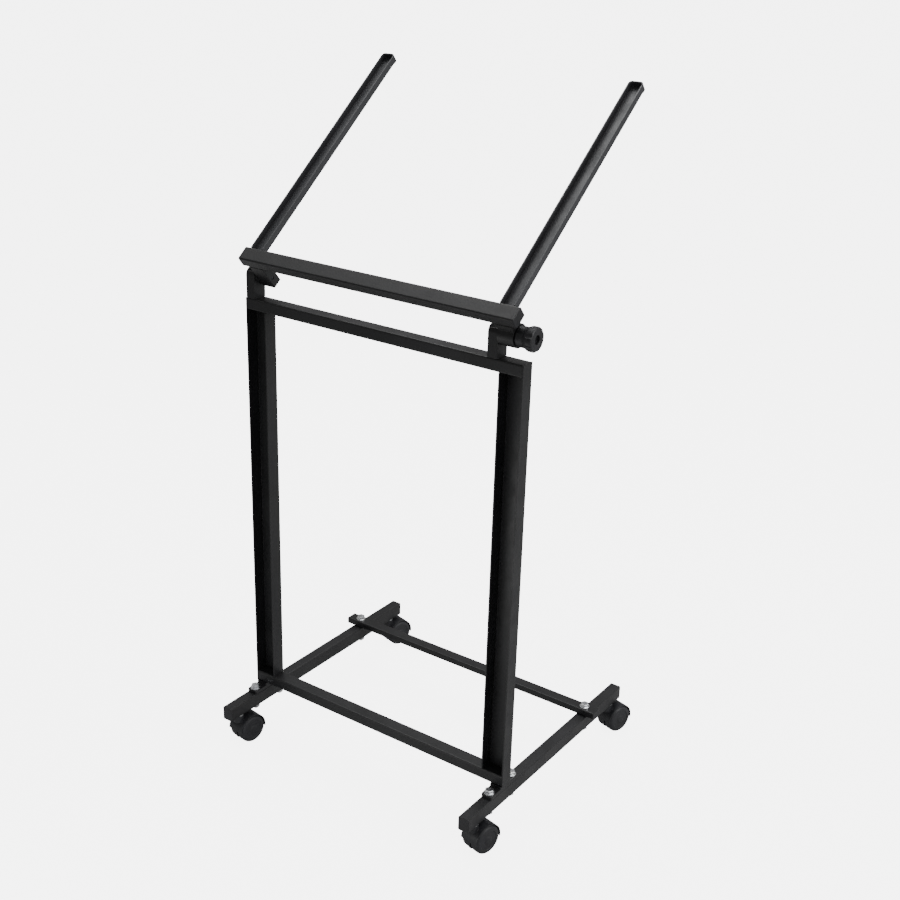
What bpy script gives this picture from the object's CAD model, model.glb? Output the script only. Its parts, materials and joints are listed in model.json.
"""Looks, studio and camera for a framed product loaded from its CAD pieces.

Metres, +Z up. The camera stands to the front right, towards +X and -Y.
Nylon, powder coat and plating are procedural; the CAD meshes keep their shape.
"""
import bpy
import bmesh
import json
import math
from mathutils import Matrix, Vector


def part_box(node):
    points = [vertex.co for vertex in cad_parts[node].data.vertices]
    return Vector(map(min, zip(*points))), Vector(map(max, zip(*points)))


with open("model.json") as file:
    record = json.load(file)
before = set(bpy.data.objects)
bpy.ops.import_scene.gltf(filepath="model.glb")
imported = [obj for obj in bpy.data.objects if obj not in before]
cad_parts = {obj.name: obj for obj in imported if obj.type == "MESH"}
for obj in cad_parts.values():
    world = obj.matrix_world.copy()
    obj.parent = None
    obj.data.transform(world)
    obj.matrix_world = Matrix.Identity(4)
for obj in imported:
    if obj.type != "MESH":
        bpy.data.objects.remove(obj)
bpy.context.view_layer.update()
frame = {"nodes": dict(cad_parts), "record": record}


# --------------------------------------------------------------- node helpers
def is_socket(value):
    return isinstance(value, bpy.types.NodeSocket)


class Graph:
    """Adds and wires nodes; any input takes either a value or another node's output."""

    def __init__(self, tree):
        self.nodes = tree.nodes
        self.links = tree.links

    def put(self, socket, value):
        if is_socket(value):
            self.links.new(value, socket)
        else:
            socket.default_value = value

    def add(self, kind, inputs=None):
        node = self.nodes.new(kind)
        for key, value in (inputs or {}).items():
            self.put(node.inputs[key], value)
        return node

    def calc(self, operation, first, second):
        node = self.add("ShaderNodeMath", {0: first, 1: second})
        node.operation = operation
        return node.outputs[0]

    def camera_ray(self):
        """1 for what the camera sees directly, 0 for light, reflections and shadows."""
        return self.add("ShaderNodeLightPath").outputs["Is Camera Ray"]


class Surface(Graph):
    """A material with one Principled shader, textured in object coordinates."""

    def __init__(self, name):
        self.mat = bpy.data.materials.new(name)
        self.mat.use_nodes = True
        super().__init__(self.mat.node_tree)
        self.nodes.clear()
        output = self.add("ShaderNodeOutputMaterial")
        self.bsdf = self.add("ShaderNodeBsdfPrincipled")
        self.put(output.inputs[0], self.bsdf.outputs[0])
        self.coord = self.add("ShaderNodeTexCoord").outputs["Object"]

    def shade(self, name, value):
        """Set or wire an input of the Principled shader."""
        self.put(self.bsdf.inputs[name], value)

    def noise(self, scale, detail=3.0, rough=0.55, stretch=None):
        node = self.add("ShaderNodeTexNoise",
                        {"Scale": scale, "Detail": detail, "Roughness": rough})
        source = self.coord
        if stretch:
            source = self.add("ShaderNodeMapping",
                              {"Scale": stretch, "Vector": source}).outputs[0]
        self.put(node.inputs["Vector"], source)
        return node.outputs["Fac"]

    def ramp(self, value, low, high, start=0.0, end=1.0):
        """Smooth step from start to end as the value goes from low to high."""
        node = self.add("ShaderNodeMapRange", {
            "Value": value, "From Min": low, "From Max": high, "To Min": start, "To Max": end})
        node.interpolation_type = "SMOOTHSTEP"
        return node.outputs["Result"]

    def mix(self, factor, *colors):
        node = self.add("ShaderNodeMix")
        node.data_type = "RGBA"
        self.put(node.inputs["Factor"], factor)
        # A and B exist once per data type, so the colour ones are picked out
        sockets = [s for s in node.inputs if s.name in ("A", "B") and s.type == "RGBA"]
        for socket, color in zip(sockets, colors):
            self.put(socket, color if is_socket(color) else (*color, 1.0))
        return [s for s in node.outputs if s.type == "RGBA"][0]

    def bump(self, height, strength, distance, normal):
        return self.add("ShaderNodeBump", {
            "Strength": strength, "Distance": distance,
            "Height": height, "Normal": normal}).outputs[0]

    def edge(self, radius, high):
        """Edge mask and rounded normal.

        The mask nears 1 along sharp edges, where the rounded normal leans from the true one.
        """
        bevel = self.add("ShaderNodeBevel", {"Radius": radius})
        bevel.samples = 4
        rounded = bevel.outputs[0]
        true = self.add("ShaderNodeNewGeometry").outputs["Normal"]
        dot = self.add("ShaderNodeVectorMath", {0: rounded, 1: true})
        dot.operation = "DOT_PRODUCT"
        lean = self.calc("SUBTRACT", 1.0, dot.outputs["Value"])
        return self.ramp(lean, low=0.02, high=high), rounded


def brighten(color, gain):
    return tuple(min(1.0, c * gain) for c in color)


# ------------------------------------------------------------------ materials
def powder_coat(name, base, light, rough, wear):
    """Satin powder coat: fine orange peel, faint cloudiness, rubbed edges, dust in patches."""
    surf = Surface(name)
    cloud = surf.noise(scale=9.0, detail=4.0)
    speck = surf.noise(scale=900.0, detail=2.0, rough=0.6)
    color = surf.mix(surf.ramp(cloud, low=0.35, high=0.68), base, light)
    color = surf.mix(surf.ramp(speck, low=0.60, high=0.78, end=0.35),
                     color, brighten(light, gain=2.2))

    mask, rounded = surf.edge(radius=0.0008, high=0.20)
    patches = surf.ramp(surf.noise(scale=46.0, detail=5.0, rough=0.7), low=0.46, high=0.70)
    rub = surf.calc("MULTIPLY", mask, patches)
    rubbed_grey = (0.16, 0.16, 0.165)
    color = surf.mix(surf.calc("MULTIPLY", rub, wear), color, rubbed_grey)

    dust = surf.ramp(surf.noise(scale=4.3, detail=6.0, rough=0.65),
                     low=0.50, high=0.80, end=0.22)
    dust_grey = (0.045, 0.046, 0.050)
    surf.shade("Base Color", surf.mix(dust, color, dust_grey))

    gloss = surf.ramp(surf.noise(scale=26.0, detail=5.0, rough=0.6),
                      low=0.3, high=0.75, start=rough - 0.07, end=rough + 0.09)
    gloss = surf.calc("ADD", gloss, surf.ramp(speck, low=0.4, high=0.8, end=0.05))
    rub_polish = surf.calc("MULTIPLY", rub, 0.12)
    surf.shade("Roughness", surf.calc("SUBTRACT", gloss, rub_polish))

    peel = surf.noise(scale=520.0, detail=2.5, rough=0.5)
    wide = surf.noise(scale=110.0, detail=2.0, rough=0.5)
    normal = surf.bump(wide, strength=0.10, distance=0.0005, normal=rounded)
    surf.shade("Normal", surf.bump(peel, strength=0.22, distance=0.00022, normal=normal))
    return surf.mat


def moulded(name, base, light, rough, grain, depth):
    """Moulded nylon: fine spark-eroded grain, slight blue cast, scuffed edges."""
    surf = Surface(name)
    cloud = surf.noise(scale=30.0, detail=4.0)
    color = surf.mix(surf.ramp(cloud, low=0.35, high=0.7), base, light)
    streaks = surf.noise(scale=70.0, detail=6.0, rough=0.75, stretch=(1.0, 2.6, 0.7))
    scuff = surf.ramp(streaks, low=0.58, high=0.75, end=0.30)
    color = surf.mix(scuff, color, brighten(light, gain=2.4))

    mask, rounded = surf.edge(radius=0.0009, high=0.22)
    patches = surf.ramp(surf.noise(scale=120.0, detail=4.0, rough=0.7), low=0.45, high=0.7)
    rub = surf.calc("MULTIPLY", mask, patches)
    wear = 0.5
    rubbed_grey = (0.13, 0.13, 0.14)
    surf.shade("Base Color",
               surf.mix(surf.calc("MULTIPLY", rub, wear), color, rubbed_grey))

    gloss = surf.ramp(surf.noise(scale=60.0, detail=5.0),
                      low=0.3, high=0.75, start=rough - 0.06, end=rough + 0.10)
    scuff_dulling = surf.calc("MULTIPLY", scuff, 0.25)
    surf.shade("Roughness", surf.calc("ADD", gloss, scuff_dulling))

    fine = surf.noise(scale=grain, detail=2.0, rough=0.6)
    cells = surf.add("ShaderNodeTexVoronoi", {"Scale": grain * 0.55, "Vector": surf.coord})
    height = surf.calc("ADD", fine, cells.outputs["Distance"])
    surf.shade("Normal", surf.bump(height, strength=0.25, distance=depth, normal=rounded))
    return surf.mat


def plated(name, base, dark, rough, tint=None):
    """Plated metal: crystalline cloudiness, turning marks and brighter edges."""
    surf = Surface(name)
    surf.shade("Metallic", 1.0)
    cloud = surf.noise(scale=160.0, detail=5.0, rough=0.65)
    color = surf.mix(surf.ramp(cloud, low=0.35, high=0.72), base, dark)
    if tint:
        color = surf.mix(surf.ramp(surf.noise(scale=85.0), low=0.45, high=0.75, end=0.5),
                         color, tint)
    mask, rounded = surf.edge(radius=0.0006, high=0.25)
    edge_strength = 0.45
    surf.shade("Base Color", surf.mix(surf.calc("MULTIPLY", mask, edge_strength),
                                      color, brighten(base, gain=1.25)))
    lines = surf.noise(scale=420.0, rough=0.6, stretch=(0.35, 0.35, 6.0))
    surf.shade("Roughness", surf.ramp(lines, low=0.3, high=0.75,
                                      start=rough - 0.08, end=rough + 0.14))
    surf.shade("Normal", surf.bump(lines, strength=0.12, distance=0.00012, normal=rounded))
    return surf.mat


MATS = {
    "frame_black": powder_coat(
        "powder_coat_black", base=(0.0090, 0.0090, 0.0098), light=(0.0135, 0.0135, 0.0150),
        rough=0.42, wear=0.35),
    "arm_coat": powder_coat(
        "powder_coat_arms", base=(0.042, 0.043, 0.047), light=(0.052, 0.053, 0.058),
        rough=0.42, wear=0.0),
    "plug_black": moulded(
        "plug_plastic", base=(0.010, 0.010, 0.0115), light=(0.017, 0.017, 0.020),
        rough=0.50, grain=1500.0, depth=0.00010),
    "zinc": plated(
        "bright_zinc", base=(0.80, 0.81, 0.83), dark=(0.58, 0.60, 0.63),
        rough=0.27, tint=(0.78, 0.76, 0.66)),
    "fibre": moulded(
        "dark_nylon", base=(0.016, 0.016, 0.017), light=(0.024, 0.024, 0.026),
        rough=0.55, grain=1500.0, depth=0.00010),
    "knob_black": moulded(
        "knob_plastic", base=(0.010, 0.010, 0.0115), light=(0.016, 0.016, 0.019),
        rough=0.46, grain=1100.0, depth=0.00016),
    "brass_insert": plated(
        "brass_plate", base=(0.78, 0.60, 0.26), dark=(0.60, 0.44, 0.18), rough=0.32),
    "black_zinc": plated(
        "black_plate", base=(0.085, 0.087, 0.095), dark=(0.045, 0.046, 0.052), rough=0.38),
    "housing_black": moulded(
        "housing_nylon", base=(0.012, 0.0122, 0.0145), light=(0.019, 0.0195, 0.024),
        rough=0.44, grain=1300.0, depth=0.00014),
    "wheel_black": moulded(
        "wheel_nylon", base=(0.015, 0.0152, 0.018), light=(0.023, 0.0235, 0.028),
        rough=0.50, grain=1200.0, depth=0.00012),
}

# --------------------------------------------------------- painting, smoothing
SHARP_ANGLE = math.radians(32)
SMOOTH_LIMIT = 0.004  # twice a facet's area over its longest side


def smooth_narrow_facets(mesh):
    """Rounds and treads are narrow facets and read as one curve; wide flats stay flat."""
    mesh.set_sharp_from_angle(angle=SHARP_ANGLE)
    for face in mesh.polygons:
        points = [mesh.vertices[i].co for i in face.vertices]
        longest = max((points[i] - points[i - 1]).length for i in range(len(points)))
        face.use_smooth = 2.0 * face.area / max(longest, 1e-9) < SMOOTH_LIMIT


slot_of = {part["node"]: part["material_slot"] for part in frame["record"]["subparts"]}
for name, piece in frame["nodes"].items():
    piece.data.materials.clear()
    piece.data.materials.append(MATS["arm_coat" if name.startswith("arm_") else slot_of[name]])
    smooth_narrow_facets(piece.data)

# ---------------------------------------------------------------------- floor
FLOOR_HALF = 14.0
FLOOR_GLOW = 5.5
WHITE = (1.0, 1.0, 1.0, 1.0)


def pale_floor():
    """A light-table floor: it glows towards the camera only, so that it stays near white."""
    surf = Surface("pale_floor")
    cloud = surf.ramp(surf.noise(scale=0.8), low=0.3, high=0.7)
    surf.shade("Base Color", surf.mix(cloud, (0.46, 0.46, 0.46), (0.48, 0.48, 0.48)))
    surf.shade("Roughness", 0.85)
    surf.shade("Specular IOR Level", 0.15)
    surf.shade("Emission Color", WHITE)
    surf.shade("Emission Strength", surf.calc("MULTIPLY", surf.camera_ray(), FLOOR_GLOW))
    return surf.mat


floor_mesh = bpy.data.meshes.new("floor")
bm = bmesh.new()
bmesh.ops.create_grid(bm, x_segments=2, y_segments=2, size=FLOOR_HALF)
bm.to_mesh(floor_mesh)
bm.free()
floor = bpy.data.objects.new("floor", floor_mesh)
bpy.context.scene.collection.objects.link(floor)
floor_mesh.materials.append(pale_floor())

# ---------------------------------------------------------------------- world
# Soft room light: dim all round, brighter on the right (+X) and overhead
ROOM_BASE = 0.08
ROOM_RIGHT = 0.42
ROOM_OVERHEAD = 0.45
BACKDROP_GLOW = FLOOR_GLOW + 0.2  # seen by the camera only

world = bpy.data.worlds.new("studio")
bpy.context.scene.world = world
world.use_nodes = True
sky = Graph(world.node_tree)
background = sky.nodes["Background"]
background.inputs[0].default_value = WHITE
seen = sky.camera_ray()
direction = sky.add("ShaderNodeSeparateXYZ",
                    {0: sky.add("ShaderNodeTexCoord").outputs["Generated"]})


def towards(axis, gain):
    """Brightness that grows towards the positive end of an axis."""
    return sky.calc("MULTIPLY", sky.calc("MAXIMUM", direction.outputs[axis], 0.0), gain)


room = sky.calc("ADD", towards(0, ROOM_RIGHT), towards(2, ROOM_OVERHEAD))
room = sky.calc("ADD", room, ROOM_BASE)
glow = sky.calc("MULTIPLY", seen, BACKDROP_GLOW)
unseen = sky.calc("MULTIPLY", sky.calc("SUBTRACT", 1.0, seen), room)
sky.put(background.inputs[1], sky.calc("ADD", glow, unseen))


# --------------------------------------------------------------------- lights
def area(name, place, target, size, power):
    light = bpy.data.lights.new(name, "AREA")
    light.shape = "RECTANGLE"
    light.size, light.size_y = size
    light.energy = power
    lamp = bpy.data.objects.new(name, light)
    bpy.context.scene.collection.objects.link(lamp)
    lamp.location = place
    aim = Vector(target) - Vector(place)
    lamp.rotation_euler = aim.to_track_quat("-Z", "Y").to_euler()
    return lamp


area("key", place=(2.6, 0.5, 1.7), target=(0.0, 0.0, 0.5), size=(1.4, 1.4), power=34)
area("top", place=(-0.3, 0.6, 2.8), target=(0.0, 0.0, 0.4), size=(1.8, 1.8), power=34)
area("overhead_left", place=(-1.1, 0.3, 2.9), target=(0.0, 0.1, 1.0), size=(1.8, 1.8), power=11)
low_front = area("low_front", place=(0.0, -0.95, 0.12), target=(0.0, -0.14, 0.22),
                 size=(1.0, 0.25), power=1.8)
low_front.visible_camera = False

# --------------------------------------------------------------------- camera
EYE_RIGHT = 1.20372  # +X from the middle of the side bars
EYE_FRONT = 1.68885  # -Y from the same middle
EYE_HEIGHT = 1.41395
TURN = math.radians(34.65)  # from +Y towards -X
DIP = math.radians(22.45)  # below the horizon
ROLL = math.radians(-1.72)  # about the line of sight
SENSOR_MM = 36.0
LENS_MM = 54.5876

left_bar, right_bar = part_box("side_bar_left"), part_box("side_bar_right")
middle = (left_bar[0] + left_bar[1] + right_bar[0] + right_bar[1]) / 4.0
eye = Vector((middle.x + EYE_RIGHT, middle.y - EYE_FRONT, EYE_HEIGHT))

forward = Vector((-math.sin(TURN) * math.cos(DIP), math.cos(TURN) * math.cos(DIP),
                  -math.sin(DIP)))
level = Vector((math.cos(TURN), math.sin(TURN), 0.0))
down = forward.cross(level)
cos_roll, sin_roll = math.cos(ROLL), math.sin(ROLL)
right_axis = level * cos_roll + down * sin_roll
down_axis = down * cos_roll - level * sin_roll

lens = bpy.data.cameras.new("camera")
lens.sensor_width = SENSOR_MM
lens.lens = LENS_MM
camera = bpy.data.objects.new("camera", lens)
bpy.context.scene.collection.objects.link(camera)
pose = Matrix.Identity(4)
for column, axis in enumerate((right_axis, -down_axis, -forward, eye)):
    for row in range(3):
        pose[row][column] = axis[row]
camera.matrix_world = pose
bpy.context.scene.camera = camera
